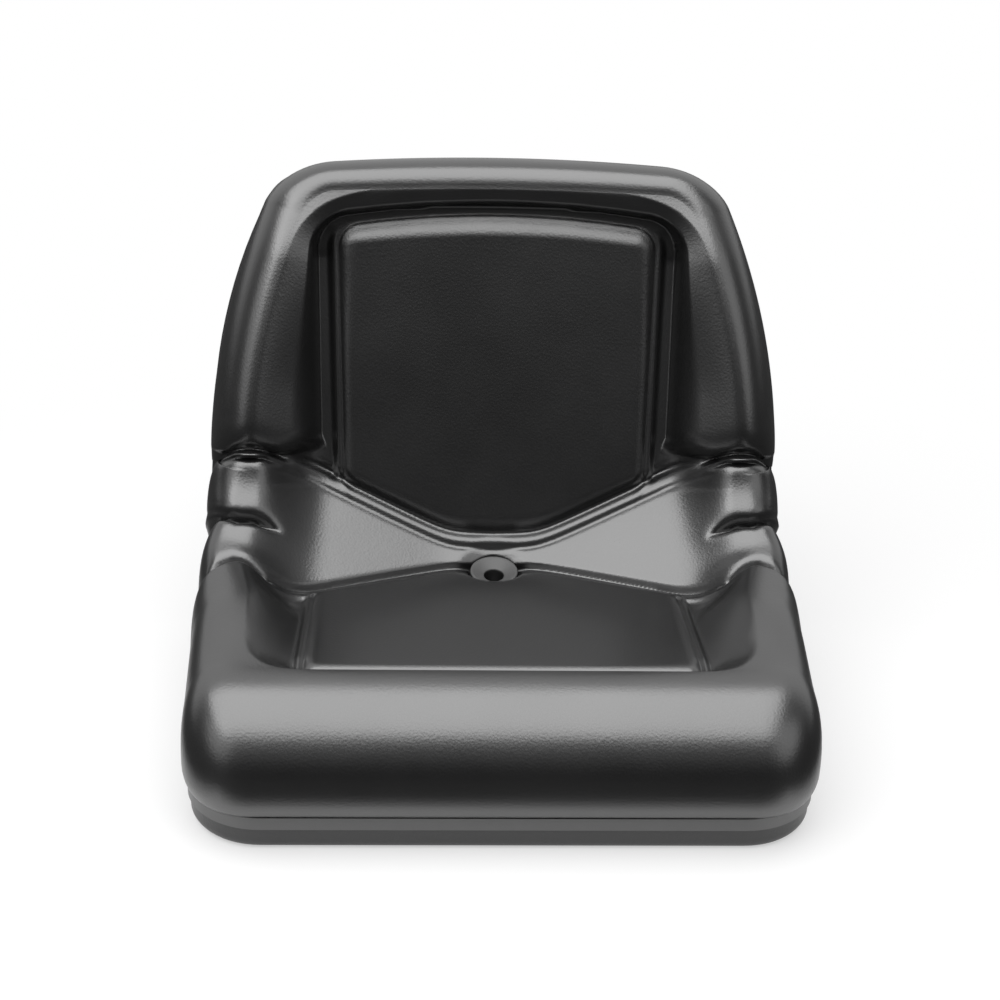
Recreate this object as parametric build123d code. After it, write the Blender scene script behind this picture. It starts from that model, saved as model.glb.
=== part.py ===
"""Bucket seat for a garden machine: steel pan, moulded cushion, rim trim and drain ferrule."""
from build123d import *
import os
from math import cos, radians, sin, tan

# Rim of the pan: flat under the seat, bent up behind it, then flat again up the back
RIM_HEIGHT = 28.5  # top edge of the pan's wall above its underside
RIM_FRONT_Y = -165.0
RIM_HALF_WIDTH = 237.5
FRONT_CORNER_R = 56.0
BEND_Y = 104.4  # where the pan starts to bend up
RIM_BEND_R = 60.0
BACK_LEAN = 18.0  # degrees from upright

# Outline of the back, measured up the back from the line where the two rim planes would meet
BACK_STRAIGHT = 160.0  # sides are straight up to here
BACK_SIDE_R = 385.0
BACK_CORNER_S = 371.0
BACK_CORNER_R = 38.0
BACK_CROWN = 9.0  # rise of the top edge at its middle

# Steel pan
PAN_WALL = 1.5
PAN_EDGE_R = 9.0
BOLT_SPACING_X = 203.2
BOLT_SPACING_Y = 158.75
BOLT_HOLE_R = 4.5
RIB_LENGTH = 150.0
RIB_WIDTH = 22.0
RIB_HEIGHT = 4.0
RIB_TAPER = 30.0
RIB_SPACING = 110.0
RIB_S = 230.0  # middle of the ribs, up the back

# Weld nuts
NUT_ACROSS_FLATS = 13.0
NUT_HEIGHT = 7.0
NUT_FLANGE_R = 11.0
NUT_FLANGE = 1.6
NUT_BORE_R = 4.0

# Rim trim, a channel pushed down over the edge of the pan
TRIM_LEG = 2.0
TRIM_DEPTH = 9.0
TRIM_TOP = 1.5

# Cushion: seat, with bolsters round a raised panel
SOFT_GAP = 0.3  # room between foam and hard pieces
BULGE = 7.5  # how far the sides stand out past the rim
LIP_R = 14.0
SEAT_CROWN = 129.0  # top of the side bolsters above the pan's underside
SEAT_ROLL_R = 44.0
SEAT_CROWN_HALF = 197.0
SEAT_CROWN_FRONT_Y = -126.0
SEAT_PANEL_HALF = 152.0
SEAT_PANEL_FRONT_Y = -84.0
SEAT_PANEL_FRONT_Z = 110.0
SEAT_DIP = 6.5  # degrees down towards the back
PANEL_RISE = 4.0
PANEL_VALLEY = 9.0  # width of the valley round a raised panel

# Cushion: back
BACK_BOLSTER_H = 80.0  # bolster over the rim plane at its lower end
BACK_TOP_H = 55.0  # and at the top
BACK_ROLL_R = 34.0
BACK_CROWN_HALF = 192.0
BACK_CROWN_TOP_HALF = 156.0
BACK_CROWN_TOP_S = 358.0
BACK_PANEL_H = 30.0  # panel over the rim plane
BACK_PANEL_HALF = 132.0
BACK_PANEL_TOP_S = 338.0

# Cushion: folds in the side bolsters, turned about one axis above the bend
FOLD_R = 70.0  # from that axis to the bolster crown
FOLD_INNER_HALF = 166.0  # foot of the bolsters' inner slope
FOLD_SLOPE_H = 38.0
FOLD_FILL = 30.0  # foam below the panels, between the bolsters
GROOVE_DEPTH = 11.0
GROOVE_INSET = 4.0
GROOVE_ANGLE = 5.0
LOWER_RING_ANGLE = 29.0
RING_DROP = 3.0
UPPER_RING_RUN = 10.0  # straight run of the upper ring, up the back
TOP_GROOVE = 8.0

# Cushion: gussets between the seat panel and the back panel
GUSSET_INNER_HALF = 30.0
GUSSET_SEAT_RUN = 84.0  # at the outer end, along the seat panel
GUSSET_BACK_RUN = 92.0  # at the outer end, up the back panel
GUSSET_ROOT = 16.0  # at the outer end, into the foam behind

# Drain ferrule
DRAIN_Y = 109.0
DRAIN_BORE_R = 8.0
DRAIN_WALL = 2.5
DRAIN_FLANGE_R = 20.0
DRAIN_FLANGE_Z = 89.0
DRAIN_DISH = 7.0
DRAIN_LIP = 2.0

# Worked-out places
BEND_ANGLE = 90.0 - BACK_LEAN
LEAN_COS = cos(radians(BACK_LEAN))
LEAN_SIN = sin(radians(BACK_LEAN))
CORNER_Y = BEND_Y + RIM_BEND_R * tan(radians(BEND_ANGLE / 2))
BACK_PLANE = Plane((0, CORNER_Y, RIM_HEIGHT), x_dir=(1, 0, 0), z_dir=(0, -LEAN_COS, LEAN_SIN))
FOLD_Z = SEAT_CROWN + FOLD_R
FOLD_Y = CORNER_Y - (BACK_BOLSTER_H + FOLD_R - (FOLD_Z - RIM_HEIGHT) * LEAN_SIN) / LEAN_COS
FOLD_S = (FOLD_Y - CORNER_Y) * LEAN_SIN + (FOLD_Z - RIM_HEIGHT) * LEAN_COS
FOLD_AXIS = Axis((0, FOLD_Y, FOLD_Z), (1, 0, 0))
BACK_START_S = FOLD_S + UPPER_RING_RUN + TOP_GROOVE
BACK_TOP_S = BACK_CORNER_S + BACK_CROWN + BULGE
CUSHION_BASE = TRIM_TOP + SOFT_GAP  # underside of the cushion over the rim
SIDE_HALF = RIM_HALF_WIDTH + BULGE
SEAT_PANEL_PLANE = Plane(
    (0, SEAT_PANEL_FRONT_Y, SEAT_PANEL_FRONT_Z),
    x_dir=(1, 0, 0),
    z_dir=(0, sin(radians(SEAT_DIP)), cos(radians(SEAT_DIP))),
)
BACK_PANEL_PLANE = BACK_PLANE.offset(BACK_PANEL_H)


def on_back(s, h):
    """Side-view point (y, z) that lies s up the back and h in front of the rim plane."""
    return (CORNER_Y + s * LEAN_SIN - h * LEAN_COS, RIM_HEIGHT + s * LEAN_COS + h * LEAN_SIN)


def on_seat_panel(y, drop=0.0):
    """Side-view point (y, z) on the seat panel's plane, or drop below it."""
    return (y, SEAT_PANEL_FRONT_Z - (y - SEAT_PANEL_FRONT_Y) * tan(radians(SEAT_DIP)) - drop)


def panels_meet(drop=0.0):
    """Side-view point where the seat panel's plane meets the back panel's plane, both sunk by drop."""
    seat_slope = tan(radians(SEAT_DIP))
    back_slope = tan(radians(BACK_LEAN))
    y0, z0 = on_back(0, BACK_PANEL_H - drop)
    y1, z1 = on_seat_panel(0, drop)
    z = (z1 + seat_slope * (back_slope * z0 - y0)) / (1 + seat_slope * back_slope)
    return (y0 + (z - z0) * back_slope, z)


def seat_outline(out, rear):
    """Plan outline of the rim moved out, from the rounded front to a straight rear end."""
    length = rear - RIM_FRONT_Y + out
    plate = Pos(0, rear - length / 2) * Rectangle(2 * (RIM_HALF_WIDTH + out), length)
    return fillet(plate.vertices().group_by(Axis.Y)[0], FRONT_CORNER_R + out)


def back_outline(out, bottom):
    """Outline of the back's rim moved out, from a straight bottom end to the crowned top."""
    half = RIM_HALF_WIDTH + out
    turn = (BACK_CORNER_S - BACK_STRAIGHT) / BACK_SIDE_R
    corner = (RIM_HALF_WIDTH - BACK_SIDE_R * (1 - cos(turn)) + out, BACK_CORNER_S + out)
    middle = (0, BACK_CORNER_S + BACK_CROWN + out)
    bend = (half, BACK_STRAIGHT)
    right = Line((half, bottom), bend) + TangentArc(bend, corner, tangent=(0, 1))
    left = mirror(right, Plane.YZ)
    top = ThreePointArc(corner, middle, (-corner[0], corner[1]))
    base = Line((-half, bottom), (half, bottom))
    plate = make_face(right + top + left + base)
    corners = plate.vertices().group_by(Axis.Y)[-1]
    return fillet(corners, BACK_CORNER_R + out)


def bucket(out, low, high, edge=0.0):
    """Bucket-shaped block from low to high over the rim: seat, bend and back, moved out."""
    depth = high - low
    seat = extrude(Pos(0, 0, RIM_HEIGHT + low) * seat_outline(out, BEND_Y), depth)
    back_start = RIM_BEND_R * tan(radians(BEND_ANGLE / 2))
    back = extrude(BACK_PLANE.offset(low) * back_outline(out, back_start), depth)
    middle_z = RIM_HEIGHT + (low + high) / 2
    strip = Plane.XZ * Pos(0, middle_z, -BEND_Y) * Rectangle(2 * (RIM_HALF_WIDTH + out), depth)
    if edge:
        seat_floor = seat.edges().group_by(Axis.Z)[0].sort_by(Axis.Y)[:-1]
        seat = fillet(seat_floor, edge)
        up_back = Axis(BACK_PLANE.origin, BACK_PLANE.y_dir)
        out_of_back = Axis(BACK_PLANE.origin, BACK_PLANE.z_dir)
        back_floor = back.edges().group_by(out_of_back)[0].sort_by(up_back)[1:]
        back = fillet(back_floor, edge)
        strip = fillet(strip.vertices().group_by(Axis.Z)[0], edge)
    bend_axis = Axis((0, BEND_Y, RIM_HEIGHT + RIM_BEND_R), (1, 0, 0))
    bend = revolve(strip, bend_axis, BEND_ANGLE)
    return seat + bend + back


def bolt_places():
    """Places of the mounting holes about the origin."""
    return GridLocations(BOLT_SPACING_X, BOLT_SPACING_Y, 2, 2)


def drain_profile(grow):
    """Half section of the ferrule's outside, grown for its pocket in the foam."""
    tube_r = DRAIN_BORE_R + DRAIN_WALL + grow
    flange_r = DRAIN_FLANGE_R + grow
    under = DRAIN_FLANGE_Z - DRAIN_LIP - grow
    return [(flange_r, under), (tube_r, under - DRAIN_DISH), (tube_r, 0)]


def lathe(points):
    """Solid of revolution about the drain's axis from a half section."""
    return Pos(0, DRAIN_Y, 0) * revolve(Plane.XZ * make_face(Polyline(*points, close=True)), Axis.Z)


def make_pan():
    """Pressed steel bucket with flat base, bolt holes, drain hole and stiffening ribs up the back."""
    floor = -RIM_HEIGHT
    shell = bucket(0, floor, 0, PAN_EDGE_R)
    shell -= bucket(-PAN_WALL, floor + PAN_WALL, PAN_WALL, PAN_EDGE_R - PAN_WALL)
    holes = [place * Cylinder(BOLT_HOLE_R, 4 * PAN_WALL) for place in bolt_places()]
    drain_r = DRAIN_BORE_R + DRAIN_WALL + SOFT_GAP
    shell -= holes
    shell -= Pos(0, DRAIN_Y, 0) * Cylinder(drain_r, RIM_HEIGHT)
    outside = BACK_PLANE.offset(floor)
    inside = BACK_PLANE.offset(floor + PAN_WALL)
    for x in (-RIB_SPACING, 0, RIB_SPACING):
        place = Pos(x, RIB_S) * Rot(0, 0, 90)
        shell += rib(outside * place, 0)
        shell -= rib(inside * place, PAN_WALL)
    return shell


def rib(place, inset):
    """Long pressed rib with sloping sides, standing out behind the back."""
    foot = place * SlotOverall(RIB_LENGTH - 2 * inset, RIB_WIDTH - 2 * inset)
    return extrude(foot, -RIB_HEIGHT, taper=RIB_TAPER)


def make_nuts():
    """Flanged hexagon nuts welded on the pan's floor over the bolt holes."""
    flange = Cylinder(NUT_FLANGE_R, NUT_FLANGE, align=(Align.CENTER, Align.CENTER, Align.MIN))
    body = extrude(RegularPolygon(NUT_ACROSS_FLATS / 2, 6, major_radius=False), NUT_HEIGHT)
    nut = flange + body - Cylinder(NUT_BORE_R, 4 * NUT_HEIGHT)
    return Compound(children=[Pos(0, 0, PAN_WALL) * place * nut for place in bolt_places()])


def make_trim():
    """Edge channel that covers both sides and the top of the pan's rim, all the way round."""
    channel = bucket(TRIM_LEG, -TRIM_DEPTH, TRIM_TOP)
    channel -= bucket(-PAN_WALL - TRIM_LEG, -2 * TRIM_DEPTH, 2 * TRIM_TOP)
    return channel - (bucket(0, -2 * TRIM_DEPTH, 0) - bucket(-PAN_WALL, -2 * TRIM_DEPTH, 0))


def make_ferrule():
    """Dished plastic ferrule whose tube drains the seat through the foam and the pan."""
    dish = [(DRAIN_BORE_R, 0), (DRAIN_BORE_R, DRAIN_FLANGE_Z - DRAIN_DISH)]
    rim = [(DRAIN_FLANGE_R - DRAIN_LIP, DRAIN_FLANGE_Z), (DRAIN_FLANGE_R, DRAIN_FLANGE_Z)]
    return lathe(dish + rim + drain_profile(0))


def make_seat_block():
    """Seat part of the cushion: front roll, side bolsters and the sloping recess between them."""
    base_z = RIM_HEIGHT + CUSHION_BASE
    block = extrude(Pos(0, 0, base_z) * seat_outline(BULGE, FOLD_Y), SEAT_CROWN - base_z)
    block = fillet(block.edges().group_by(Axis.Z)[-1].sort_by(Axis.Y)[:-1], SEAT_ROLL_R)
    block = fillet(block.edges().group_by(Axis.Z)[0].sort_by(Axis.Y)[:-1], LIP_R)
    low_half = SEAT_PANEL_HALF + PANEL_VALLEY
    valley_y = SEAT_PANEL_FRONT_Y - PANEL_VALLEY
    low = [on_seat_panel(valley_y, PANEL_RISE), on_seat_panel(FOLD_Y, PANEL_RISE)]
    high = [(SEAT_CROWN_FRONT_Y, SEAT_CROWN), (FOLD_Y, SEAT_CROWN)]
    return block - flared(low, low_half, low_half, high, SEAT_CROWN_HALF, SEAT_CROWN_HALF)


def flared(low, low_start, low_end, high, high_start, high_end):
    """Block between two side-view lines, each with its half width at start and end."""
    rings = []
    for (start, end), near, far in ((low, low_start, low_end), (high, high_start, high_end)):
        rings.append(
            Wire.make_polygon([(-near, *start), (near, *start), (far, *end), (-far, *end)])
        )
    return Solid.make_loft(rings, ruled=True)


def make_back_block():
    """Back part of the cushion: side bolsters and top roll round the sloping recess."""
    plate = BACK_PLANE.offset(CUSHION_BASE) * back_outline(BULGE, BACK_START_S)
    block = extrude(plate, BACK_BOLSTER_H - CUSHION_BASE)
    slope = Wire.make_polygon(
        [
            (0, *on_back(BACK_START_S, BACK_BOLSTER_H)),
            (0, *on_back(BACK_TOP_S + BULGE, BACK_BOLSTER_H)),
            (0, *on_back(BACK_TOP_S + BULGE, BACK_TOP_H)),
        ]
    )
    block -= extrude(Face(slope), SIDE_HALF, dir=(1, 0, 0), both=True)
    out_of_back = Axis(BACK_PLANE.origin, BACK_PLANE.z_dir)
    up_back = Axis(BACK_PLANE.origin, BACK_PLANE.y_dir)
    front_faces = block.faces().filter_by(lambda f: f.normal_at().dot(BACK_PLANE.z_dir) > 0.9)
    crown = front_faces.sort_by(SortBy.AREA)[-1]
    block = fillet(crown.edges().sort_by(up_back)[1:], BACK_ROLL_R)
    block = fillet(block.edges().group_by(out_of_back)[0].sort_by(up_back)[1:], LIP_R)
    floor_h = BACK_PANEL_H - PANEL_RISE
    low_half = BACK_PANEL_HALF + PANEL_VALLEY
    low = [on_back(BACK_START_S, floor_h), on_back(BACK_PANEL_TOP_S + PANEL_VALLEY, floor_h)]
    high = [on_back(BACK_START_S, BACK_BOLSTER_H), on_back(BACK_CROWN_TOP_S, BACK_BOLSTER_H)]
    return block - flared(low, FOLD_INNER_HALF, low_half, high, BACK_CROWN_HALF, BACK_CROWN_TOP_HALF)


def fold_section(drop, inset):
    """Cross-section of both side bolsters, on a thick base, at the front end of the folds."""
    top = SEAT_CROWN - drop
    half = SIDE_HALF - inset
    depth = top - RIM_HEIGHT + RIM_BEND_R
    plate = Pos(0, top - depth / 2) * Rectangle(2 * half, depth)
    plate = fillet(plate.vertices().group_by(Axis.Y)[-1], SEAT_ROLL_R - inset)
    floor = panels_meet(PANEL_RISE)[1] - FOLD_FILL
    foot = (FOLD_INNER_HALF, top - FOLD_SLOPE_H)
    half_hollow = [(0, top), (SEAT_CROWN_HALF, top), foot, (FOLD_INNER_HALF, floor), (0, floor)]
    hollow = make_face(Polyline(*half_hollow, close=True))
    return plate - hollow - mirror(hollow, Plane.YZ)


def fold_wedge(start, angle, drop, inset):
    """One turn of the folds, sunk below the bolster crown and drawn in at the sides."""
    face = Plane((0, FOLD_Y, 0), x_dir=(1, 0, 0), z_dir=(0, -1, 0)) * fold_section(drop, inset)
    return revolve(face.rotate(FOLD_AXIS, start), FOLD_AXIS, angle)


def fold_run(start, length, drop, inset):
    """Straight stretch of the folds, up the back from the end of the turn."""
    face = Plane((0, FOLD_Y, 0), x_dir=(1, 0, 0), z_dir=(0, -1, 0)) * fold_section(drop, inset)
    turned = face.rotate(FOLD_AXIS, BEND_ANGLE)
    return extrude(Pos(*(BACK_PLANE.y_dir * start)) * turned, length, dir=BACK_PLANE.y_dir)


def make_folds():
    """Ribbed folds where the side bolsters turn from the seat up to the back."""
    lower_start = GROOVE_ANGLE
    upper_start = lower_start + LOWER_RING_ANGLE + GROOVE_ANGLE
    folds = fold_wedge(0, BEND_ANGLE, GROOVE_DEPTH, GROOVE_INSET)
    folds += fold_run(0, UPPER_RING_RUN + TOP_GROOVE, GROOVE_DEPTH, GROOVE_INSET)
    folds += fold_wedge(lower_start, LOWER_RING_ANGLE, RING_DROP, 0)
    folds += fold_wedge(upper_start, BEND_ANGLE - upper_start, RING_DROP, 0)
    folds += fold_run(0, UPPER_RING_RUN, RING_DROP, 0)
    return folds


def make_corner():
    """Foam behind the seat panel and the back panel where they meet, with the two gussets."""
    meet = panels_meet(PANEL_RISE)
    profile = [
        on_seat_panel(FOLD_Y, PANEL_RISE),
        meet,
        on_back(BACK_START_S, BACK_PANEL_H - PANEL_RISE),
        on_back(BACK_START_S, 0),
        (CORNER_Y, RIM_HEIGHT),
        (FOLD_Y, RIM_HEIGHT),
    ]
    side = Face(Wire.make_polygon([(0, *p) for p in profile]))
    corner = extrude(side, FOLD_INNER_HALF, dir=(1, 0, 0), both=True)
    y, z = panels_meet()
    seat_end = on_seat_panel(y - GUSSET_SEAT_RUN)
    back_end = (y + GUSSET_BACK_RUN * LEAN_SIN, z + GUSSET_BACK_RUN * LEAN_COS)
    root = (y + GUSSET_ROOT, z - GUSSET_ROOT)
    for sign in (-1, 1):
        inner = Vertex(sign * GUSSET_INNER_HALF, y, z)
        outer = Wire.make_polygon([(sign * SEAT_CROWN_HALF, *p) for p in (seat_end, back_end, root)])
        corner += Solid.make_loft([outer, inner], ruled=True)
    return corner


def make_panels():
    """Raised panels of the seat and the back."""
    y, z = panels_meet()
    rear = (y - SEAT_PANEL_FRONT_Y) / cos(radians(SEAT_DIP))
    side = rear - GUSSET_SEAT_RUN * SEAT_PANEL_HALF / SEAT_CROWN_HALF
    tuck = rear + PANEL_RISE
    corners = [(SEAT_PANEL_HALF, 0), (SEAT_PANEL_HALF, side), (GUSSET_INNER_HALF, rear)]
    seat = mirrored_plate([(0, 0), *corners, (GUSSET_INNER_HALF, tuck), (0, tuck)])
    seat_pad = extrude(SEAT_PANEL_PLANE * seat, -2 * PANEL_RISE)
    low = (z - RIM_HEIGHT - BACK_PANEL_H * LEAN_SIN) / LEAN_COS
    side = low + GUSSET_BACK_RUN * BACK_PANEL_HALF / SEAT_CROWN_HALF
    top = BACK_PANEL_TOP_S
    corners = [(GUSSET_INNER_HALF, low), (BACK_PANEL_HALF, side), (BACK_PANEL_HALF, top)]
    back = mirrored_plate([(0, low), *corners, (0, top)])
    back_pad = extrude(BACK_PANEL_PLANE * back, -2 * PANEL_RISE)
    return seat_pad + back_pad


def mirrored_plate(half):
    """Plate from the right half of its outline."""
    right = make_face(Polyline(*half, close=True))
    return right + mirror(right, Plane.YZ)


def make_cushion():
    """Foam cushion in one piece, down into the pan, with pockets for the nuts and the ferrule."""
    top = make_seat_block() + make_folds() + make_back_block() + make_corner()
    top += make_panels()
    top -= bucket(2 * BULGE, -SEAT_CROWN, CUSHION_BASE)
    inset = PAN_WALL + TRIM_LEG + SOFT_GAP
    floor = PAN_WALL + SOFT_GAP - RIM_HEIGHT
    top += bucket(-inset, floor, CUSHION_BASE + TRIM_DEPTH, PAN_EDGE_R - inset)
    pocket = Cylinder(NUT_FLANGE_R + SOFT_GAP, 2 * (PAN_WALL + NUT_HEIGHT + SOFT_GAP))
    top -= [place * pocket for place in bolt_places()]
    open_top = [(0, 0), (0, SEAT_CROWN), (DRAIN_FLANGE_R + SOFT_GAP, SEAT_CROWN)]
    return top - lathe(open_top + drain_profile(SOFT_GAP))


os.makedirs("parts", exist_ok=True)
NODES = {
    "bucket_pan": make_pan,
    "weld_nuts": make_nuts,
    "rim_trim": make_trim,
    "drain_ferrule": make_ferrule,
    "cushion": make_cushion,
}
for name, make in NODES.items():
    export_step(make(), f"parts/{name}.step")
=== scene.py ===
"""Bucket seat for a garden machine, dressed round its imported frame."""

import bpy
import bmesh
import math
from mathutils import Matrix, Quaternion, Vector


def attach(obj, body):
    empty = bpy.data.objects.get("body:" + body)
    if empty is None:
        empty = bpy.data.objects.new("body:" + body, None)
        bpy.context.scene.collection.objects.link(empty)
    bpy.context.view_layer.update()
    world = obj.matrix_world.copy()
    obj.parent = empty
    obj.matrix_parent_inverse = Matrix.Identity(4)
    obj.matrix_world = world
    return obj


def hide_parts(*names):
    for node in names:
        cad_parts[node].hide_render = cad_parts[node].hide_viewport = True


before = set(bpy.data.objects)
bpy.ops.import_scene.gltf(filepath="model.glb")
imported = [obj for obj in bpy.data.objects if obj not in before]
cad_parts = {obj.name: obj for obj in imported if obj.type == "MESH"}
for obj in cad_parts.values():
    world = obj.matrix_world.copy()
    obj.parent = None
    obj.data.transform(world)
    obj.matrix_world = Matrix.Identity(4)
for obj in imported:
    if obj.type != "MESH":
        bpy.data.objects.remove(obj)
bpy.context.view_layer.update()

# Bucket pan: pressed steel dish, bent up behind the seat, with a semi-gloss black
# paint coat that shows a faint orange peel. Everything else is fixed in or on it.
PAINT_BLACK = (0.012, 0.012, 0.0125, 1)
PAINT_DUSTY = (0.02, 0.02, 0.0205, 1)
PAINT_IOR = 1.7
PEEL_DEPTH = 0.0002


class Wire:
    """A shader socket that joins in sums and products by adding Math nodes."""

    def __init__(self, tree, socket):
        self.tree = tree
        self.socket = socket

    def node(self, kind, settings=None, **inputs):
        """Adds a node of any kind and gives its first output that is in use."""
        made = self.tree.nodes.new(kind)
        for name, value in (settings or {}).items():
            setattr(made, name, value)
        for name, value in inputs.items():
            key = int(name[1:]) if name[0] == "i" and name[1:].isdigit() else name
            if isinstance(value, Wire):
                self.tree.links.new(value.socket, made.inputs[key])
            else:
                made.inputs[key].default_value = value
        live = next(out for out in made.outputs if out.enabled)
        return Wire(self.tree, live)

    def maths(self, operation, a, b=0.0):
        return self.node("ShaderNodeMath", {"operation": operation}, i0=a, i1=b)

    def __add__(self, other):
        return self.maths("ADD", self, other)

    __radd__ = __add__

    def __mul__(self, other):
        return self.maths("MULTIPLY", self, other)

    __rmul__ = __mul__

    def __sub__(self, other):
        return self.maths("SUBTRACT", self, other)

    def __rsub__(self, other):
        return self.maths("SUBTRACT", other, self)

    def clamp(self):
        return self.node("ShaderNodeClamp", Value=self)


def finish_named(name):
    """Starts a material: gives it, its main shader and a wire of Object coordinates."""
    material = bpy.data.materials.new(name)
    material.use_nodes = True
    tree = material.node_tree
    shader = tree.nodes["Principled BSDF"]
    coordinates = tree.nodes.new("ShaderNodeTexCoord")
    return material, shader, Wire(tree, coordinates.outputs["Object"])


def feed(shader, name, wire):
    wire.tree.links.new(wire.socket, shader.inputs[name])


def noise(place, scale, detail=2.0, roughness=0.5):
    return place.node("ShaderNodeTexNoise", Vector=place, Scale=scale, Detail=detail, Roughness=roughness)


def tinted(mask, low, high):
    """Colour that goes from low to high with a mask."""
    return mask.node("ShaderNodeMix", {"data_type": "RGBA"}, i0=mask, i6=low, i7=high)


def bumped(shader, height, depth, strength=1.0):
    bump = height.node("ShaderNodeBump", Height=height, Distance=depth, Strength=strength)
    feed(shader, "Normal", bump)


def dress_node(name, material):
    """Gives a piece kept from the frame its finish."""
    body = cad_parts[name]
    body.data.materials.clear()
    body.data.materials.append(material)


paint, paint_shader, place = finish_named("pan_paint")
peel = noise(place, scale=420)
dust = noise(place, scale=9, detail=5, roughness=0.6)
paint_shader.inputs["IOR"].default_value = PAINT_IOR
feed(paint_shader, "Base Color", tinted(dust, PAINT_BLACK, PAINT_DUSTY))
feed(paint_shader, "Roughness", 0.3 + dust * 0.12)
bumped(paint_shader, peel, PEEL_DEPTH)
dress_node("bucket_pan", paint)

# Weld nuts: four flanged steel nuts inside the pan, zinc plated to a slightly
# yellowish grey, resistance welded over the bolt holes.
ZINC_DULL = (0.52, 0.52, 0.5, 1)
ZINC_BRIGHT = (0.7, 0.7, 0.67, 1)
zinc, zinc_shader, place = finish_named("nut_zinc")
spangle = noise(place, scale=700, detail=3)
zinc_shader.inputs["Metallic"].default_value = 1.0
feed(zinc_shader, "Base Color", tinted(spangle, ZINC_DULL, ZINC_BRIGHT))
feed(zinc_shader, "Roughness", 0.32 + spangle * 0.2)
dress_node("weld_nuts", zinc)

# Rim trim: extruded black vinyl channel pushed down over the pan's edge all the way
# round, where it hides the raw steel and takes up the cushion's lip.
TRIM_BLACK = (0.01, 0.01, 0.01, 1)
TRIM_DRAGGED = (0.018, 0.018, 0.018, 1)
VINYL_IOR = 2.1
TRIM_GRAIN_DEPTH = 0.0001
trim, trim_shader, place = finish_named("trim_vinyl")
drag = noise(place, scale=160, detail=3)
feed(trim_shader, "Base Color", tinted(drag, TRIM_BLACK, TRIM_DRAGGED))
trim_shader.inputs["IOR"].default_value = VINYL_IOR
feed(trim_shader, "Roughness", 0.3 + drag * 0.12)
bumped(trim_shader, noise(place, scale=900), TRIM_GRAIN_DEPTH)
dress_node("rim_trim", trim)

# Drain ferrule: grey moulded plastic funnel with a rolled flange, sunk in the corner of
# the cushion. Its tube lets rain water out through the foam and the pan. Inside the tube
# the grey plastic is painted near black as painted shade.
MM = 0.001
FERRULE_Y = 109.0
FERRULE_TIP = 0.14  # slope of the flange towards the front
FLANGE_Z = 70.0  # only what is higher leans
FERRULE_STEPS = 64
FERRULE_SECTION = (
    (8.0, 0.0),
    (8.0, 82.0),
    (8.4, 83.2),
    (9.4, 83.9),
    (16.5, 87.0),
    (18.0, 88.0),
    (18.9, 88.2),
    (19.8, 87.8),
    (20.0, 86.8),
    (19.4, 85.6),
    (10.5, 79.6),
    (10.5, 0.0),
)
PLASTIC_DARK = (0.075, 0.075, 0.075, 1)
PLASTIC_PALE = (0.1, 0.1, 0.1, 1)
# Painted shade: the bore of the tube is coloured near black for the shade deep inside it; the plastic there
# is really the same grey.
BORE_PAINTED_SHADE = (0.002, 0.002, 0.002, 1)
BORE_SHADE_RADII = (0.0088, 0.0083)  # the grey turns black between these radii, in metres
PLASTIC_GRAIN_DEPTH = 0.00008


def piece_from(name, mesh, material):
    """Object at the origin made from a finished bmesh, smooth shaded."""
    for face in mesh.faces:
        face.smooth = True
    data = bpy.data.meshes.new(name)
    mesh.to_mesh(data)
    mesh.free()
    data.materials.append(material)
    piece = bpy.data.objects.new(name, data)
    bpy.context.scene.collection.objects.link(piece)
    return piece


def turned(section, y, steps):
    """Lathe-turned mesh about an upright axis from a closed half section in millimetres."""
    mesh = bmesh.new()
    corners = [mesh.verts.new((r * MM, y * MM, z * MM)) for r, z in section]
    edges = [mesh.edges.new(pair) for pair in zip(corners, corners[1:] + corners[:1])]
    bmesh.ops.spin(
        mesh,
        geom=corners + edges,
        cent=(0, y * MM, 0),
        axis=(0, 0, 1),
        angle=2 * math.pi,
        steps=steps,
        use_merge=True,
    )
    bmesh.ops.recalc_face_normals(mesh, faces=mesh.faces)
    return mesh


def vector_maths(operation, a, **others):
    return a.node("ShaderNodeVectorMath", {"operation": operation}, i0=a, **others)


grey, grey_shader, place = finish_named("ferrule_plastic")
flow = noise(place, scale=55, detail=3)
# Painted shade: near the axis the grey turns to the near-black bore colour, standing in for the shade
# inside the tube.
level_place = vector_maths("MULTIPLY_ADD", place, i1=(1, 1, 0), i2=(0, -FERRULE_Y * MM, 0))
from_axis = vector_maths("LENGTH", level_place)
bore_shade = from_axis.node("ShaderNodeMapRange", i0=from_axis, i1=BORE_SHADE_RADII[0], i2=BORE_SHADE_RADII[1])
plastic = tinted(flow, PLASTIC_DARK, PLASTIC_PALE)
feed(grey_shader, "Base Color", tinted(bore_shade, plastic, BORE_PAINTED_SHADE))
feed(grey_shader, "Roughness", 0.42 + flow * 0.12)
bumped(grey_shader, noise(place, scale=1400, detail=1), PLASTIC_GRAIN_DEPTH)
ferrule_mesh = turned(FERRULE_SECTION, FERRULE_Y, FERRULE_STEPS)
for vert in ferrule_mesh.verts:
    if vert.co.z > FLANGE_Z * MM:
        vert.co.z += (vert.co.y - FERRULE_Y * MM) * FERRULE_TIP
ferrule = piece_from("drain_ferrule_turned", ferrule_mesh, grey)
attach(ferrule, "root")
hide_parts("drain_ferrule")

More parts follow.
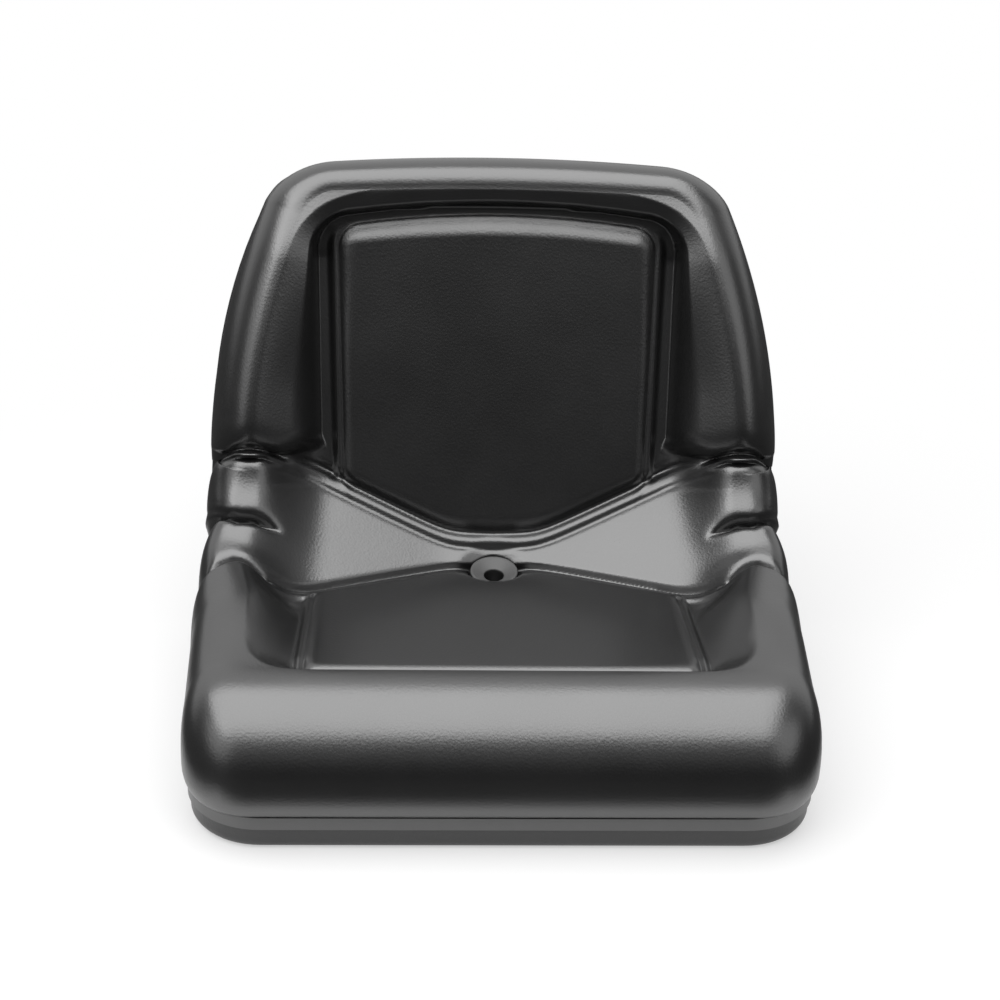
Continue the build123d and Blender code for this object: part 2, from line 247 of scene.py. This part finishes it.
# Cushion: black vinyl skin drawn by vacuum over a moulded foam bucket, with side
# bolsters, two ribbed folds each side, raised panels with a bead round them and a
# gusset each side of the drain. It is held by its lip, which tucks in at the rim trim.
CROWN_Z = 129.0  # top of the side bolsters
TURN_R = 70.0  # the bolsters' crown turns up at this radius
TURN_Y = 45.67  # and starts to turn here
TURN_Z = CROWN_Z + TURN_R
TURN = math.radians(72)
TURN_RUN = TURN_R * TURN  # length of the turn; a run is a length along the crown from its start
FRONT_RUN = -218.2
TOP_RUN = TURN_RUN + 258.5
TOP_BOW = 9.5  # the top's outline falls by this towards its corners,
TOP_BOW_HALF = 190.0  # this far from the middle


def blend(a, b, t):
    return a + (b - a) * t


def ramp(value, low, high):
    """Smooth step from 0 at low to 1 at high."""
    t = min(max((value - low) / (high - low), 0.0), 1.0)
    return t * t * (3 - 2 * t)


def hump(x, middle, width):
    return math.exp(-(((x - middle) / width) ** 2))


def stops_at(value, stops):
    """Straight-line value between stops of (place, value)."""
    if value <= stops[0][0]:
        return stops[0][1]
    for (a, p), (b, q) in zip(stops, stops[1:]):
        if value <= b:
            return blend(p, q, (value - a) / (b - a))
    return stops[-1][1]


def crown_line(run):
    """Side-view point of the crown and the turn angle there."""
    angle = min(max(run / TURN_R, 0.0), TURN)
    before = min(run, 0.0)
    after = max(run - TURN_RUN, 0.0)
    y = TURN_Y + before + TURN_R * math.sin(angle) + after * math.cos(angle)
    z = TURN_Z - TURN_R * math.cos(angle) + after * math.sin(angle)
    return y, z, angle


def in_place(x, run, depth):
    """Point in the frame from its place across, along and below the crown."""
    lift = max(run - TURN_RUN, 0.0) / (TOP_RUN - TURN_RUN)
    y, z, angle = crown_line(run - TOP_BOW * (x / TOP_BOW_HALF) ** 2 * lift ** 3)
    return Vector((x, y + depth * math.sin(angle), z - depth * math.cos(angle))) * MM


RIM_Z = 30.3  # underside of the cushion's lip
RIM_BEND = (104.4, 88.5, 58.2)  # centre and radius of the rim's bend
BACK_FOOT = (148.0, 28.5)  # side-view point of the back's rim plane
LEAN = math.radians(18)
LIP_LAP = 1.8  # the lip reaches this short of the back's rim plane


def back_height(y, z):
    """How far a side-view point stands in front of the back's rim plane."""
    return (BACK_FOOT[0] - y) * math.cos(LEAN) + (z - BACK_FOOT[1]) * math.sin(LEAN)


def lip_depth(run):
    """Depth of the rim below the crown."""
    y, z, angle = crown_line(run)
    dy, dz = math.sin(angle), -math.cos(angle)
    seat = (z - RIM_Z) / -dz
    reach = y + seat * dy
    cy, cz, radius = RIM_BEND
    if reach <= cy:
        return seat
    along = dy * (cy - y) + dz * (cz - z)
    apart = (cy - y) ** 2 + (cz - z) ** 2 - radius ** 2
    bend = along + math.sqrt(max(along ** 2 - apart, 0.0))
    back = (back_height(y, z) - LIP_LAP) / math.sin(angle + LEAN)
    far_y, far_z = y + bend * dy - cy, z + bend * dz - cz
    past = far_y * math.sin(LEAN) + far_z * math.cos(LEAN)
    return back if past > 0 else bend


SIDE_HALF = 244.0  # half width outside, with the swell that each run adds
SIDE_SWELL = ((-130.0, 0.0), (-60.0, 1.5), (10.0, 3.5), (52.0, 2.5), (TURN_RUN, -3.2))
BACK_SIDE_R = 545.0  # curve of the back's sides
ROLL_IN = 46.0  # how far the crown lies in from the outside, at the front of the sides
ROLL_FRONT = 72.0
ROLL_TOP = 25.0
ROLL_THINNER = 10.0  # the side rolls thin by this
ROLL_THINNING = (-50.0, 10.0)  # between these runs
RIB_THINNER = 9.0  # and the rib between the folds thins by more
RIB_RUN = 26.0
RIB_WIDTH = 18.0


def half_width(run):
    """Half the cushion's outside width: swells a little at the seat and draws in up the back."""
    swelled = SIDE_HALF + stops_at(run, SIDE_SWELL)
    past = max(run - TURN_RUN, 0.0)
    return swelled - past ** 2 / (2 * BACK_SIDE_R)


def roll_in(run):
    """How far the crown lies in from the outside, at the sides."""
    return ROLL_IN - ROLL_THINNER * ramp(run, *ROLL_THINNING) - RIB_THINNER * hump(run, RIB_RUN, RIB_WIDTH)


CROWN_FRONT = FRONT_RUN + ROLL_FRONT
CROWN_TOP = TOP_RUN - ROLL_TOP
FRONT_BEND = 9.0
TOP_BEND = 18.0


def crown_half(run):
    """Half width of the crown line, rounded at the front and top corners."""
    half = half_width(run) - roll_in(run)
    for end, radius in ((run - CROWN_FRONT, FRONT_BEND), (CROWN_TOP - run, TOP_BEND)):
        if end < radius:
            half -= radius - math.sqrt(max(radius ** 2 - (radius - end) ** 2, 0.0))
    return half


PANEL_FRONT = -132.5
PANEL_TOP = TURN_RUN + 211.5
PANEL_HALF = ((PANEL_FRONT, 153.0), (10.0, 149.0), (80.0, 128.0), (PANEL_TOP, 134.0))
FOOT_HALF = (
    (PANEL_FRONT, 161.0),
    (-8.0, 158.0),
    (15.0, 136.0),
    (75.0, 130.0),
    (112.0, 147.0),
    (PANEL_TOP, 151.0),
)


def panel_half(run):
    return stops_at(run, PANEL_HALF)


def foot_half(run):
    """Half width between the feet of the bolsters' inner slopes."""
    return stops_at(run, FOOT_HALF)


# Each crease of the folds: run, depth, width before it and behind it, and dip to the sides.
CREASES = (
    (7.0, 15.0, 1.8, 3.4, 0.2),
    (49.0, 17.0, 2.4, 4.2, 0.3),
    (98.0, 7.0, 2.2, 1.6, 0.5),
    (104.5, 17.0, 2.4, 6.5, 0.55),
)
CREASE_POINT = 1.15  # 1 is a sharp crease, 2 a round one


def crease(run, depth, softness=1.0):
    """Depth of the folds' creases in the bolsters; the upper ones dip more towards the sides."""
    total = 0.0
    for at, deep, before, after, dip in CREASES:
        away = run + dip * depth - at
        width = softness * (before if away < 0 else after)
        total = max(total, deep * math.exp(-((abs(away) / width) ** CREASE_POINT)))
    return total


BACK_FALL = 25.0  # how far the crown falls up the back
BACK_FALL_START = 105.0
BACK_FALL_POWER = 1.6
FOLD_FALL = 9.0  # along the upper fold's rib
FOLD_START = 50.0
FOLD_LENGTH = 48.0
FOLD_END = (97.0, 102.0)
TOP_FALL = 6.0  # near its top end
TOP_FALL_RUNS = (TOP_RUN - 85.0, TOP_RUN - 20.0)
FRONT_FALL = 11.0  # and towards the front roll
FRONT_FALL_RUNS = (-50.0, -145.0)


def crown_drop(run):
    """How far the crown is below its own line: lower at the front and up the back."""
    past = max(run - BACK_FALL_START, 0.0) / (TOP_RUN - BACK_FALL_START)
    rib = max(run - FOLD_START, 0.0) / FOLD_LENGTH * (1 - ramp(run, *FOLD_END))
    ends = TOP_FALL * ramp(run, *TOP_FALL_RUNS) + FRONT_FALL * ramp(run, *FRONT_FALL_RUNS)
    return BACK_FALL * past ** BACK_FALL_POWER + FOLD_FALL * rib + ends


def softest(a, b, soft):
    """Smaller of two depths with a rounded change from one to the other."""
    gap = (a - b) / soft
    if abs(gap) > 30:
        return min(a, b)
    return -soft * math.log(math.exp(-a / soft + b / soft) + 1) + b


def rounded(across, along, radius):
    """Distance outside a corner with rounded edges, from the distances past its two sides."""
    a, b = across + radius, along + radius
    return math.hypot(max(a, 0.0), max(b, 0.0)) + min(max(a, b), 0.0) - radius


SEAT_MARK = (-84.0, 110.0)  # side-view point of the seat panel's plane
SEAT_DIP = math.tan(math.radians(6.5))
BACK_PANEL_H = 30.0  # the back panel's plane, in front of the rim plane
PANEL_RISE = 4.5  # height of the pads on the panels
CORNER = (134.83, 85.07)  # where the panels' planes meet, in side view
GUSSET_HALF = 38.0  # half width of the flat part between the gussets' wings
GUSSET_BEND = 14.0
GUSSET_MIN = 6.0  # height of the gusset over the corner, in the middle
GUSSET_FACING = (-0.5697, 0.8218)  # outward direction in side view
GUSSET_GROWTH = 0.295  # slope of the wings up to the sides
GUSSET_SPREAD = 1.35  # length along the floor for each length of depth
GUSSET_SOFT = 1.6
CORNER_CHANGE = 6.0  # the seat's values change to the back's over this depth, each way
UPPER_BACK = (170.0, 280.0)  # runs from low to high on the back
TOP_EDGE = (262.0, 292.0)  # runs over which the back pad's side edge becomes its top edge

# Edge of the pads. A pair holds the seat's value and the back's, where its note says no other.
PAD_INSET = 4.0  # from the gusset to the foot of a pad's end
PAD_END = (7.0, 13.0)  # length of the rise at that end
SEAT_BOW = (5.0, 2.5)  # the seat pad's round-over, at its front and behind it
SEAT_BOW_RUNS = (-125.0, -105.0)
BACK_BOW = (4.0, 5.0)  # the back pad's, low and high
BOW_WIDTH = (11.0, 18.0)  # width of the round-over, low and high on the back
BOW_POWER = (2.0, 1.4)  # its curve, at the sides and at the top edge
EDGE_FALL = (3.5, 5.5)  # fall outside the pad's edge
EDGE_FALL_SPAN = (3.0, 10.0)  # distances out from the edge
EDGE_LINE = (0.5, 0.3, 1.0)  # fine line at the edge: depth, place and width
TOP_BEAD = (0.35, -1.5, 2.0)  # bead along the back pad's top edge: height, place and width
STEP_FADE_FROM = (-17.0, -9.0)  # the step dies out towards the gusset between these
STEP_FADE_TO = (-3.0, -2.0)


def edge_step(edge, run, apart, upper):
    """How far a pad's surface falls at its edge, less near the gussets."""
    top = ramp(run, *TOP_EDGE)
    high = ramp(run, *UPPER_BACK)
    bow = blend(blend(*SEAT_BOW, ramp(run, *SEAT_BOW_RUNS)), blend(*BACK_BOW, high), upper)
    inside = min(max(1 + edge / blend(*BOW_WIDTH, high), 0.0), 1.0)
    bow *= inside ** blend(*BOW_POWER, top)
    line_depth, line_at, line_width = EDGE_LINE
    fall = blend(*EDGE_FALL, upper) * ramp(edge, *EDGE_FALL_SPAN)
    fall += line_depth * hump(edge, line_at, line_width)
    bead_height, bead_at, bead_width = TOP_BEAD
    step = bow + blend(fall, -bead_height * hump(edge, bead_at, bead_width), top)
    return step * (1 - ramp(apart, blend(*STEP_FADE_FROM, upper), blend(*STEP_FADE_TO, upper)))


# Bead and grooves round the pads, again with the seat's value and the back's in such a pair.
RIDGE_AT = (-3.5, 2.5)
RIDGE_HEIGHT = 1.2
RIDGE_WIDTH = 2.8
BEAD_INSET = 5.0
BEAD_CORNER_R = 9.0
BEAD_AT = 4.5  # out from the pad's edge
BEAD_WIDTH = 3.0
SIDE_BEAD = 0.6  # height along the sides
FOOT_BEAD = 1.7  # and along the gussets
FOOT_BEAD_SPAN = (-20.0, -5.0)  # distances from the gusset, from one to the other
BEAD_CORNER_FADE = 0.7  # share that is taken off the bead at the pads' corners
BEAD_CORNER_AT = 4.0
BEAD_CORNER_WIDTH = 5.0
BEAD_CORNER_SPAN = (-14.0, -6.0)  # distances from the gusset
PAD_GROOVE = (3.0, -5.5, 2.8)  # between the back pad and its bead: depth, place and width
GUSSET_GROOVE = ((6.0, 1.3), (2.8, 7.8), (2.8, 2.1))  # pairs of depth, place and width


def bead_and_grooves(edge, run, apart, upper):
    """Height of the bead and ridge round the pads, less the grooves beside them."""
    ridge_at = blend(*RIDGE_AT, upper)
    around = rounded(edge, apart + BEAD_INSET - ridge_at, BEAD_CORNER_R)
    side_bead = SIDE_BEAD * (1 - ramp(run, *TOP_EDGE))
    bead = blend(side_bead, FOOT_BEAD, ramp(apart, *FOOT_BEAD_SPAN)) * hump(around, BEAD_AT, BEAD_WIDTH)
    corner = hump(edge, BEAD_CORNER_AT, BEAD_CORNER_WIDTH) * ramp(apart, *BEAD_CORNER_SPAN)
    bead *= 1 - BEAD_CORNER_FADE * corner
    ridge = max(bead, RIDGE_HEIGHT * hump(apart, ridge_at, RIDGE_WIDTH))
    deep, at, width = PAD_GROOVE
    pad_groove = deep * upper * hump(apart, at, width)
    deep, at, width = (blend(*pair, upper) for pair in GUSSET_GROOVE)
    return ridge - pad_groove - deep * hump(apart, at, width)


def floor_depth(x, run, edge):
    """Depth of the hollow's floor below the crown: pads, the bead round them and the gussets."""
    y, z, angle = crown_line(run)
    dy, dz = math.sin(angle), -math.cos(angle)
    seat = (z + SEAT_DIP * (y - SEAT_MARK[0]) - SEAT_MARK[1]) / (-dz - SEAT_DIP * dy)
    back = (back_height(y, z) - BACK_PANEL_H) / math.sin(angle + LEAN)
    base = min(seat, back) + PANEL_RISE
    ny, nz = GUSSET_FACING
    over = ny * (y - CORNER[0]) + nz * (z - CORNER[1])
    spare = (abs(x) - GUSSET_HALF) / GUSSET_BEND
    wing = GUSSET_MIN + GUSSET_GROWTH * GUSSET_BEND * (spare + math.sqrt(spare ** 2 + 1)) / 2
    gusset = (over - wing) / -(ny * dy + nz * dz)
    apart = (base - gusset) * GUSSET_SPREAD
    upper = ramp(seat - back, -CORNER_CHANGE, CORNER_CHANGE)
    pad = PANEL_RISE * ramp(apart, -PAD_INSET, -PAD_INSET - blend(*PAD_END, upper))
    pad -= edge_step(edge, run, apart, upper)
    return softest(base, gusset, GUSSET_SOFT) - pad - bead_and_grooves(edge, run, apart, upper)


# Inner slopes of the back bolsters, with a value low and high up the back in a pair.
BACK_SLOPE_CHANGE = (150.0, 270.0)
PLANE_FALL = (0.6, 0.25)
PLANE_EDGE = 0.12  # softness of the plane's upper edge
WALL_SHARE = (0.44, 0.3)  # share of the slope that the steep foot takes
WALL_POWER = 2.7


def back_slope(share, run):
    """Height share of the back bolsters' inner slopes: steep at the foot, then a gentle plane."""
    high = ramp(run, *BACK_SLOPE_CHANGE)
    plane = 1 - blend(*PLANE_FALL, high) * (math.hypot(1 - share, PLANE_EDGE) - PLANE_EDGE)
    return plane * (1 - max(1 - share / blend(*WALL_SHARE, high), 0.0) ** WALL_POWER)


PANEL_CROWN = 5.5  # the back panel's top edge falls by this towards its corners,
PANEL_CROWN_HALF = 106.0  # this far from the middle
PANEL_CORNER_R = (12.0, 18.0)  # at the front and at the top
PANEL_CORNER_RUNS = (0.0, 90.0)
FOOT_OUT = (4.0, 8.0)  # from the panel's end to the slope's foot, at the front and at the top
FOOT_OUT_RUNS = (0.0, 50.0)
FOOT_CORNER_R = 24.0
CROWN_CORNER_R = 42.0
FOOT_BEND = ((-30.0, 1.2), (10.0, 3.2), (78.0, 3.2), (112.0, 1.1))  # softness of the slopes' feet
CROWN_BEND = ((-30.0, 1.6), (10.0, 3.0), (78.0, 3.0), (112.0, 2.0))  # and of their tops
BACK_SLOPE_START = (98.0, 120.0)
CREASE_FADE = (0.3, 0.95)  # shares of the slope between which the creases start
SURROUND_DIP = 6.0  # dished skin behind the ferrule
SURROUND_RADII = (18.0, 36.0)  # it fades out between these
SURROUND_SPAN = (-12.0, 8.0)  # and comes in from front to back between these
POCKET_DEPTH = 14.0  # round pocket that the ferrule sits in
POCKET_WALL = (20.6, 23.1)  # inner and outer radius of its wall


def surface_depth(x, run):
    """Depth of the upper surface below the crown line."""
    ends = max(PANEL_FRONT - run, run + PANEL_CROWN * (x / PANEL_CROWN_HALF) ** 2 - PANEL_TOP)
    corner_r = blend(*PANEL_CORNER_R, ramp(run, *PANEL_CORNER_RUNS))
    edge = rounded(abs(x) - panel_half(run), ends, corner_r)
    foot_out = blend(*FOOT_OUT, ramp(run, *FOOT_OUT_RUNS))
    rise = max(rounded(abs(x) - foot_half(run), ends - foot_out, FOOT_CORNER_R), 0.0)
    to_end = min(run - CROWN_FRONT, CROWN_TOP - run)
    to_crown = max(-rounded(abs(x) - crown_half(run), -to_end, CROWN_CORNER_R), 0.0)
    share = rise / (rise + to_crown + 1e-6)
    slope = 1 - (1 - share ** stops_at(run, FOOT_BEND)) ** stops_at(run, CROWN_BEND)
    slope = blend(slope, back_slope(share, run), ramp(run, *BACK_SLOPE_START))
    depth = blend(floor_depth(x, run, edge), crown_drop(run), slope)
    depth += crease(run, depth - crown_drop(run)) * ramp(slope, *CREASE_FADE)
    if run > TURN_RUN:
        return depth
    y, z, angle = crown_line(run)
    behind = y + depth * math.sin(angle) - FERRULE_Y
    from_drain = math.hypot(x, behind)
    depth += SURROUND_DIP * (1 - ramp(from_drain, *SURROUND_RADII)) * ramp(behind, *SURROUND_SPAN)
    return depth + POCKET_DEPTH * (1 - ramp(from_drain, *POCKET_WALL))


def spread(stops):
    """Places between stops of (place, steps from the one before)."""
    places = [stops[0][0]]
    for (a, _), (b, steps) in zip(stops, stops[1:]):
        places += [blend(a, b, (k + 1) / steps) for k in range(steps)]
    return places


def bent_rows(radius, steps):
    """Places that come close together where a round corner starts."""
    return [radius * (1 - math.cos(math.pi / 2 * k / steps)) for k in range(steps)]


front_rows = [CROWN_FRONT + r for r in bent_rows(FRONT_BEND, steps=14)]
middle_rows = spread(
    (
        (CROWN_FRONT + FRONT_BEND, 0),
        (-124.0, 16),
        (-4.0, 34),
        (52.0, 64),
        (112.0, 60),
        (262.0, 40),
        (CROWN_TOP - TOP_BEND, 42),
    )
)
top_rows = [CROWN_TOP - r for r in reversed(bent_rows(TOP_BEND, steps=12))]
runs = front_rows + middle_rows + top_rows
HALF_COLUMNS = 104
DRAIN_SHARE = 0.12  # share of the columns up to the drain's edge,
PANEL_SHARE = 0.46  # to the panel's edge
FOOT_SHARE = 0.7  # and to the slope's foot
DRAIN_COLUMNS = 28.0  # half width of the close columns at the drain
EDGE_COLUMNS = 10.0  # the close columns start this far inside the panel's edge
EDGE_ROOM = 26.0  # least widths left for the slopes' columns
FOOT_ROOM = 10.0
EDGE_TO_FOOT = 12.0
FOOT_SPARE = 2.0


def across_at(share, run):
    """Place across at a share of the half width, with close columns at the panel's edge."""
    limit = crown_half(run)
    edge = min(panel_half(run), limit - EDGE_ROOM)
    foot = min(max(foot_half(run), edge + EDGE_TO_FOOT) + FOOT_SPARE, limit - FOOT_ROOM)
    stops = (
        (0.0, 0.0),
        (DRAIN_SHARE, DRAIN_COLUMNS),
        (PANEL_SHARE, edge - EDGE_COLUMNS),
        (FOOT_SHARE, foot),
        (1.0, limit),
    )
    return math.copysign(stops_at(abs(share), stops), share)


GRID_MIDDLE = Vector((0, 60))  # a place across and run well inside the crown line
cushion_mesh = bmesh.new()
bmesh.ops.create_grid(cushion_mesh, x_segments=2 * HALF_COLUMNS, y_segments=len(runs) - 1, size=1)
flat = {}
for vert in cushion_mesh.verts:
    run = runs[round((vert.co.y + 1) / 2 * (len(runs) - 1))]
    flat[vert] = (across_at(vert.co.x, run), run)
rim = [edge for edge in cushion_mesh.edges if edge.is_boundary]
outward = {}
for edge in rim:
    start, end = (Vector(flat[vert]) for vert in edge.verts)
    along = end - start
    side = Vector((along.y, -along.x)).normalized()
    if side.dot((start + end) / 2 - GRID_MIDDLE) < 0:
        side = -side
    for vert in edge.verts:
        outward[vert] = outward.get(vert, Vector((0, 0))) + side
for vert in cushion_mesh.verts:
    x, run = flat[vert]
    vert.co = in_place(x, run, surface_depth(x, run))

# Outer roll of the cushion, from its crown over the widest place to the lip.
SHOULDER = ((-120.0, 2.9), (-20.0, 3.2), (45.0, 3.0), (60.0, 2.5), (130.0, 1.9))  # squareness at the sides
END_SHOULDER = ((0.0, 2.0), (TURN_RUN, 2.7))  # and at the front and top
WIDEST_LEVEL = 0.76  # 0 at the crown, 1 at the lip
LIP_IN = 7.5
LIP_RISE = 16.0  # widest place, over the lip
LIP_RISE_SHARE = ((TURN_RUN, 1.0), (TOP_RUN, 0.8))
LIP_TUCK = 9.0  # width of the lip's underside
FOLD_PULL = ((20.0, 0.14), (32.0, 0.42))  # share of a crease's depth that pulls the side in
FOLD_SOFTER = 0.8
FOLD_GROWS = (0.0, 0.5)  # levels over which the folds come in and fade
FOLD_FADES = (0.45, 0.95)
LEVELS = 34


def roll_section(level, run, facing):
    """Outward reach and depth of the outer roll at a level."""
    lip = lip_depth(run)
    inset = blend(roll_in(run), ROLL_FRONT if run < 0 else ROLL_TOP, facing.y ** 2)
    top = crown_drop(run)
    widest = lip - LIP_RISE * stops_at(run, LIP_RISE_SHARE)
    if level < WIDEST_LEVEL:
        turn = math.pi / 2 * level / WIDEST_LEVEL
        square = 2 / blend(stops_at(run, SHOULDER), stops_at(run, END_SHOULDER), facing.y ** 2)
        out = inset * math.sin(turn) ** square
        depth = blend(top, widest, 1 - max(math.cos(turn), 0.0) ** square)
    else:
        turn = math.pi / 2 * (level - WIDEST_LEVEL) / (1 - WIDEST_LEVEL)
        out = inset - LIP_IN * (1 - math.cos(turn))
        depth = blend(widest, lip, math.sin(turn))
    grown_in = ramp(level, *FOLD_GROWS)
    fold = crease(run, depth - top, 1 + FOLD_SOFTER * grown_in)
    drawn_in = fold * stops_at(run, FOLD_PULL) * (1 - ramp(level, *FOLD_FADES)) * grown_in
    return out - drawn_in, depth + fold * (1 - ramp(level, 0.0, 1.0))


ring = {vert: (*flat[vert], outward[vert].normalized()) for vert in outward}
for step in range(1, LEVELS + 2):
    grown = bmesh.ops.extrude_edge_only(cushion_mesh, edges=rim)["geom"]
    new_verts = [item for item in grown if isinstance(item, bmesh.types.BMVert)]
    rim = [item for item in grown if isinstance(item, bmesh.types.BMEdge)]
    next_ring = {}
    for vert in new_verts:
        joined = (edge.other_vert(vert) for edge in vert.link_edges)
        x, run, facing = ring[next(other for other in joined if other in ring)]
        out, depth = roll_section(min(step / LEVELS, 1.0), run, facing)
        if step > LEVELS:
            out -= LIP_TUCK
        next_ring[vert] = (x, run, facing)
        moved = Vector((x, run)) + facing * out
        vert.co = in_place(moved.x, moved.y, depth)
    rim = [edge for edge in rim if edge.verts[0] in next_ring and edge.verts[1] in next_ring]
    ring = next_ring
sides = [edge for edge in rim if abs(ring[edge.verts[0]][1] - ring[edge.verts[1]][1]) > 1e-6]
bmesh.ops.bridge_loops(cushion_mesh, edges=sides)
open_edges = [edge for edge in cushion_mesh.edges if edge.is_boundary]
bmesh.ops.holes_fill(cushion_mesh, edges=open_edges, sides=0)
bmesh.ops.recalc_face_normals(cushion_mesh, faces=cushion_mesh.faces)

VINYL_BLACK = (0.0035, 0.0035, 0.0037, 1)
VINYL_WORN = (0.0055, 0.0055, 0.0057, 1)
GRAIN_SCALE = 560.0
GRAIN_DEPTH = 0.0005
GRAIN_STRENGTH = 0.16
vinyl, vinyl_shader, place = finish_named("cushion_vinyl")
grain = place.node("ShaderNodeTexVoronoi", {"feature": "SMOOTH_F1"}, Vector=place, Scale=GRAIN_SCALE)
fine = noise(place, scale=1500)
worn = noise(place, scale=14, detail=4, roughness=0.55)
vinyl_shader.inputs["IOR"].default_value = VINYL_IOR
feed(vinyl_shader, "Base Color", tinted(worn, VINYL_BLACK, VINYL_WORN))
feed(vinyl_shader, "Roughness", 0.24 + worn * 0.08 + fine * 0.04)
bumped(vinyl_shader, grain + fine * 0.3, GRAIN_DEPTH, GRAIN_STRENGTH)
cushion = piece_from("cushion_skin", cushion_mesh, vinyl)
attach(cushion, "root")
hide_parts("cushion")

# Studio floor: pale board that the seat stands on, white to the eye but still shaded by
# the seat. The seat itself mirrors only the strip of it close by.
FLOOR_HALF = 8.0
FLOOR_WHITE = (0.8, 0.8, 0.8, 1)
FLOOR_DARK = (0.03, 0.03, 0.03, 1)
WHITE_OUT = (0.4, 0.8)  # the floor goes to full white between these distances
STRIP_HALF = 0.24  # sides and front of the seat's outline on the floor
STRIP_FRONT = -0.165
STRIP_FADE = (0.11, 0.02)  # the pale strip fades with the distance from that outline
STRIP_GLOW = 0.3
floor_mesh = bmesh.new()
bmesh.ops.create_grid(floor_mesh, x_segments=1, y_segments=1, size=FLOOR_HALF)
floor_white, floor_shader, place = finish_named("floor_white")
floor_shader.inputs["Roughness"].default_value = 0.9
floor_tree = floor_white.node_tree
path = floor_tree.nodes.new("ShaderNodeLightPath")
camera_ray, glossy_ray, glass_ray = (
    Wire(floor_tree, path.outputs[f"Is {kind} Ray"]) for kind in ("Camera", "Glossy", "Transmission")
)


def step_up(value, low, high):
    """Smooth step of a wire from 0 at low to 1 at high."""
    return value.node("ShaderNodeMapRange", {"interpolation_type": "SMOOTHSTEP"}, i0=value, i1=low, i2=high)


far = step_up(vector_maths("LENGTH", place), *WHITE_OUT)
split = place.node("ShaderNodeSeparateXYZ", Vector=place).socket.node
across, along = (Wire(floor_tree, split.outputs[axis]) for axis in ("X", "Y"))
aside = across.maths("ABSOLUTE", across) - STRIP_HALF
outside = aside.maths("MAXIMUM", aside, STRIP_FRONT - along)
strip = step_up(outside, *STRIP_FADE)
white = (strip + camera_ray).clamp()
feed(floor_shader, "Base Color", tinted(white, FLOOR_DARK, FLOOR_WHITE))
glow = far.node("ShaderNodeEmission", Color=(1, 1, 1, 1), Strength=1.0)
lit = camera_ray * (far * 0.5 + 0.5) + (glossy_ray + glass_ray) * strip * STRIP_GLOW
matt = Wire(floor_tree, floor_shader.outputs[0])
shown = glow.node("ShaderNodeMixShader", i0=lit.clamp(), i1=matt, i2=glow)
floor_tree.links.new(shown.socket, floor_tree.nodes["Material Output"].inputs["Surface"])
floor = piece_from("floor", floor_mesh, floor_white)

# Studio light: one soft ceiling light in a dim room, with a pale backdrop behind the seat
# and, on each side, a faint wall and a window that the vinyl mirrors.
BACKDROP_SPAN = (0.1, 0.6)
BACKDROP_LEVEL = 0.7
ROOM_HEIGHTS = (0.2, 0.5)  # the room goes from dim to paler between these heights
ROOM_LEVELS = (0.03, 0.2)
SIDES = ((-1, 0.1, 1.0), (1, 0.06, 0.85))  # side, and brightness of its wall and its window
WALL_START = 0.4
WINDOW_START = 0.915
WINDOW_AIM = (0.72, -0.49, 0.5)
PATCH_FULL = 0.97
world = bpy.data.worlds.new("studio")
bpy.context.scene.world = world
world.use_nodes = True
sky = world.node_tree
toward = Wire(sky, sky.nodes.new("ShaderNodeTexCoord").outputs["Generated"])
split = toward.node("ShaderNodeSeparateXYZ", Vector=toward).socket.node
height, behind = (Wire(sky, split.outputs[axis]) for axis in ("Z", "Y"))
seen = Wire(sky, sky.nodes.new("ShaderNodeLightPath").outputs["Is Camera Ray"])
backdrop = step_up(behind, *BACKDROP_SPAN)
low, high = ROOM_HEIGHTS
dim, pale = ROOM_LEVELS
room = height.node("ShaderNodeMapRange", i0=height, i1=low, i2=high, i3=dim, i4=pale)
level = backdrop * BACKDROP_LEVEL + room + seen
for side, wall, window in SIDES:
    window_aim = (WINDOW_AIM[0] * side, WINDOW_AIM[1], WINDOW_AIM[2])
    for aim, start, strength in (((side, 0, 0), WALL_START, wall), (window_aim, WINDOW_START, window)):
        aligned = vector_maths("DOT_PRODUCT", toward, i1=aim)
        level += step_up(aligned, start, PATCH_FULL) * strength
sky.links.new(level.clamp().socket, sky.nodes["Background"].inputs["Color"])

CEILING_PLACE = Vector((-0.5, -0.5, 1.9))
ceiling_data = bpy.data.lights.new("ceiling", "AREA")
ceiling_data.shape = "RECTANGLE"
ceiling_data.size = 3.2
ceiling_data.size_y = 2.4
ceiling_data.energy = 70
ceiling = bpy.data.objects.new("ceiling", ceiling_data)
ceiling.location = CEILING_PLACE
ceiling.rotation_euler = Vector((0, 0, -1)).to_track_quat("-Z", "Y").to_euler()
bpy.context.scene.collection.objects.link(ceiling)

# Camera: stands a little to the left of the seat's middle, above the height of its
# back, and is turned by a slight roll, as the photograph was taken.
AZIMUTH = math.radians(-3)
ELEVATION = math.radians(27)
DISTANCE = 1.7
TARGET = Vector((0.0, 0.05, 0.185))
ROLL = math.radians(1.9)
view = Vector(
    (
        math.sin(AZIMUTH) * math.cos(ELEVATION),
        -math.cos(AZIMUTH) * math.cos(ELEVATION),
        math.sin(ELEVATION),
    )
)
camera_data = bpy.data.cameras.new("camera")
camera_data.sensor_width = 36
camera_data.lens = 76.5
camera = bpy.data.objects.new("camera", camera_data)
camera.location = TARGET + view * DISTANCE
camera.rotation_mode = "QUATERNION"
camera.rotation_quaternion = Quaternion(view, ROLL) @ (-view).to_track_quat("-Z", "Y")
bpy.context.scene.collection.objects.link(camera)
bpy.context.scene.camera = camera
bpy.context.scene.view_settings.view_transform = "Standard"
